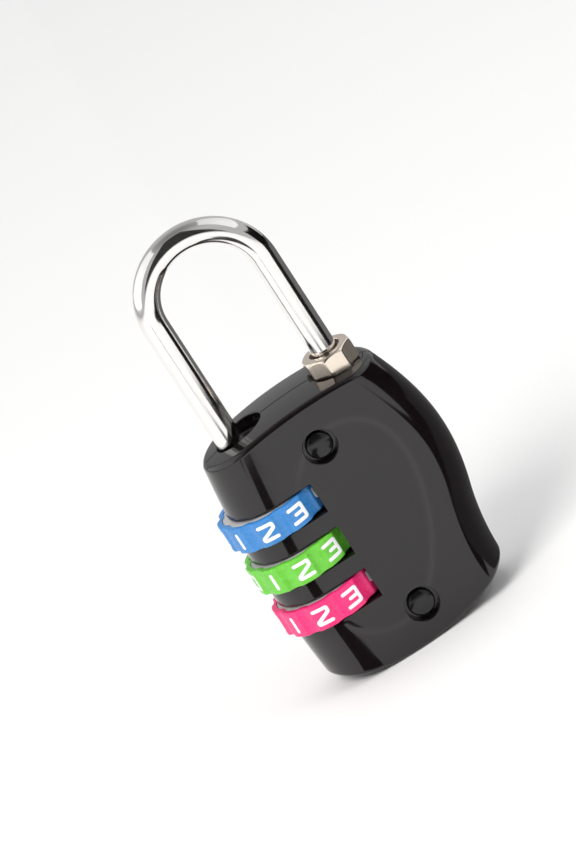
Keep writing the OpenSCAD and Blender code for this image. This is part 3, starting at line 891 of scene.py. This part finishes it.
def dial(name):
    """One dial: its fluted ring, its digits and its hub."""
    z, turn = DIALS[name]
    low, high = -DIAL_H / 2, DIAL_H / 2
    body = name + "_wheel"
    profile = ring_profile(
        [(5.0, low), (DIAL_R, low), (DIAL_R, high), (RIM_IN, high), (RIM_IN, high - BAND_Z),
         (5.0, high - BAND_Z)],
        [0.05, 0.24, 0.24, 0.08, 0.03, 0.03], 7)
    pts, faces = lathe(profile, int(480 * FINE), fluted(math.radians(-90 + turn)))
    piece(name + "_ring", at(pts, x=DIAL_X, z=z), faces, body, name, [name + "_dial"],
          sharp=40)
    digits(name, z, turn, body)
    hub = ring_profile(
        [(1.55, low + 1.3), (2.7, low + 1.3), (2.7, low + 0.1), (4.97, low + 0.1), (4.97, high - 0.53),
         (6.32, high - 0.53), (6.32, high - 0.08), (1.55, high - 0.08)],
        [0.02, 0.02, 0.1, 0.1, 0.02, 0.02, 0.1, 0.1], 4)
    pts, faces = lathe(hub, int(160 * FINE))
    piece(name + "_sleeve", at(pts, x=DIAL_X, z=z), faces, body, "hub_plastic",
          [name + "_hub"], sharp=40)


for dial_name in DIALS:
    dial(dial_name)

# ---------------------------------------------------------------- carried-over CAD nodes
CARRIED = {
    "code_spindle": "steel", "spindle_spring": "steel", "detent_spring": "steel", "lock_core": "core_metal",
    "latch": "steel", "latch_spring": "steel", "heel_clip": "steel", "shackle_spring": "steel",
    "spring_seat": "steel", "spindle_bush": "steel",
}
for node_name, mat_name in CARRIED.items():
    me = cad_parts[node_name].data
    me.materials.clear()
    me.materials.append(MATS[mat_name])


def spring(name, body=None):
    """A copy of a CAD spring that can follow the joint it works on."""
    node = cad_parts[name]
    me = node.data.copy()
    me.transform(node.matrix_world)
    o = bpy.data.objects.new(name + "_coil", me)
    bpy.context.scene.collection.objects.link(o)
    if body:
        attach(o, body)
    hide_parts(name)
    return o


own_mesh(spring("latch_spring", "case"))
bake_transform(spring("shackle_spring"))


# ---------------------------------------------------------------- stage, light, camera
def plane(name, corners, mat):
    """One flat face of the surroundings, in metres."""
    me = bpy.data.meshes.new(name)
    me.from_pydata([tuple(c) for c in corners], [], [tuple(range(len(corners)))])
    me.materials.append(mat)
    o = bpy.data.objects.new(name, me)
    bpy.context.scene.collection.objects.link(o)
    return o


CARD_Z = 0.3


def stage():
    """The floor, and cards that stand in for a studio's flags and soft boxes."""
    floor_mat = bpy.data.materials.new("pale_floor")
    floor_mat.use_nodes = True
    s = floor_mat.node_tree.nodes["Principled BSDF"]
    s.inputs["Base Color"].default_value = (0.9, 0.9, 0.9, 1)
    s.inputs["Roughness"].default_value = 0.7
    s.inputs["Specular IOR Level"].default_value = 0.2
    plane("floor", [(-3, -3, 0), (3, -3, 0), (3, 3, 0), (-3, 3, 0)], floor_mat)

    def card(name, corners, grey, glow=0):
        """A card on or above the floor that only reflections see."""
        mat = bpy.data.materials.new(name)
        mat.use_nodes = True
        b = mat.node_tree.nodes["Principled BSDF"]
        b.inputs["Base Color"].default_value = (grey, grey, grey, 1)
        b.inputs["Roughness"].default_value = 1.0
        b.inputs["Specular IOR Level"].default_value = 0.0
        b.inputs["Emission Color"].default_value = (1, 1, 1, 1)
        b.inputs["Emission Strength"].default_value = glow
        o = plane(name, [[c * MM for c in p] for p in corners], mat)
        o.visible_camera = False
        o.visible_diffuse = False
        o.visible_shadow = False
        o.visible_transmission = False

    def flat(name, outline, grey):
        """A card lying on the floor, so low that only reflections in the case's sides find it."""
        card(name, [(x, y, CARD_Z) for x, y in outline], grey)

    def upright(name, xs, ys, zs, grey, glow=0):
        """An upright card: the two ends of its foot in plan, and its lower and upper edge."""
        foot = list(zip(xs, ys))
        card(name, [(*p, zs[0]) for p in foot] + [(*p, zs[1]) for p in foot[::-1]], grey, glow)

    left = [(-7.5, -7.5), (-11.7, -7.5), (-20, -19), (-33.3, -37.5), (-41.7, -57.5), (-47.5, -80),
            (-50, -104), (-15, -104), (-16.3, -80), (-15, -66), (-17, -46.7), (-12, -30), (-9.5, -20)]
    flat("dark_left", left, 0.035)
    # the two cards on the right share an edge, so that no floor shows between them
    edge = [(20, -11.7), (19.5, -24), (21, -35), (38, -32), (60, -31), (112, -12), (263, 5), (400, 298)]
    right = [(900, 298), (900, -500), (92, -76), (70, -96), (40, -112), (45, -88), (48, -70), (41, -55),
             (29, -45), (18, -41), (16.5, -30), (15.5, -20)]
    flat("dark_right", [(14, -11)] + edge + right, 0.01)
    flat("dim_right", [(14.5, 3)] + edge + [(0, 400), (0, 104), (14, 90)], 0.13)
    upright("dark_side", (420, 420), (-300, 298), (CARD_Z, 150), 0.004)
    flat("line_left", [(-64, -100), (-110, -180), (-118, -174), (-69, -97)], 0.02)
    upright("dark_front", (-260, 170), (-450, -450), (60, 1250), 0.035)
    upright("side_left", (-700, -700), (-500, 900), (100, 1400), 0.6, 0.72)
    upright("side_right", (700, 700), (-500, 900), (350, 1400), 0.5, 0.55)


LAMP_AIM = (0, 0, 0.03)
SKY_STRENGTH = 0.56
SKY_TONES = ((0.0, 0.95), (0.34, 0.9), (0.55, 0.95), (0.8, 0.8), (1.0, 0.4))  # place and tone, lowest first


def area(name, place, size, power, color=(1, 1, 1)):
    """A square lamp aimed at the case, which reflections don't show."""
    data = bpy.data.lights.new(name, "AREA")
    data.size = size
    data.energy = power
    data.color = color
    o = bpy.data.objects.new(name, data)
    o.location = place
    o.rotation_euler = (Vector(LAMP_AIM) - Vector(place)).to_track_quat("-Z", "Y").to_euler()
    o.visible_glossy = False
    bpy.context.scene.collection.objects.link(o)


def lights():
    """A grey sky whose tone changes with height, and three lamps; places and sizes in metres."""
    world = bpy.data.worlds.new("studio")
    bpy.context.scene.world = world
    world.use_nodes = True
    t = world.node_tree
    bg = t.nodes["Background"]
    bg.inputs["Strength"].default_value = SKY_STRENGTH
    coords = node_of(t, "ShaderNodeTexCoord")
    split = node_of(t, "ShaderNodeSeparateXYZ")
    ramp = node_of(t, "ShaderNodeValToRGB")
    for k, (place, tone) in enumerate(SKY_TONES):
        e = ramp.color_ramp.elements[k] if k < 2 else ramp.color_ramp.elements.new(place)
        e.position = place
        e.color = (tone, tone, tone, 1)
    t.links.new(coords.outputs["Generated"], split.inputs["Vector"])
    t.links.new(split.outputs["Z"], ramp.inputs["Fac"])
    t.links.new(ramp.outputs["Color"], bg.inputs["Color"])
    area("key", (-0.35, -0.45, 0.6), 0.4, 4.5, (1, 0.98, 0.96))
    area("fill", (0.5, -0.3, 0.45), 0.3, 0.9)
    area("top", (0.0, 0.1, 0.8), 0.6, 2.1)


AIM_X, AIM_Z = 6.7, 31.77  # the picture's middle, x from the dial axis
CAM_ROLL = -33.0
PICTURE_W = 72.0  # width of what the picture shows at the target


def camera():
    """A long lens from two metres away, aimed from its azimuth and elevation."""
    target = Vector(((DIAL_X + AIM_X) * MM, 0.0, AIM_Z * MM))
    az, el, roll = math.radians(CAM_AZ), math.radians(CAM_EL), math.radians(CAM_ROLL)
    dist = 2.0
    away = Vector((math.sin(az) * math.cos(el), -math.cos(az) * math.cos(el), math.sin(el)))
    data = bpy.data.cameras.new("camera")
    data.sensor_fit = "HORIZONTAL"
    data.sensor_width = 36
    data.lens = data.sensor_width * dist / (PICTURE_W * MM)
    data.clip_start = 0.01
    o = bpy.data.objects.new("camera", data)
    rot = (-away).to_track_quat("-Z", "Y").to_matrix() @ Matrix.Rotation(roll, 3, "Z")
    o.matrix_world = Matrix.Translation(target + away * dist) @ rot.to_4x4()
    bpy.context.scene.collection.objects.link(o)
    bpy.context.scene.camera = o


CAM_AZ, CAM_EL = 0.0, 20.0
stage()
lights()
camera()
bpy.context.scene.view_settings.view_transform = "Standard"
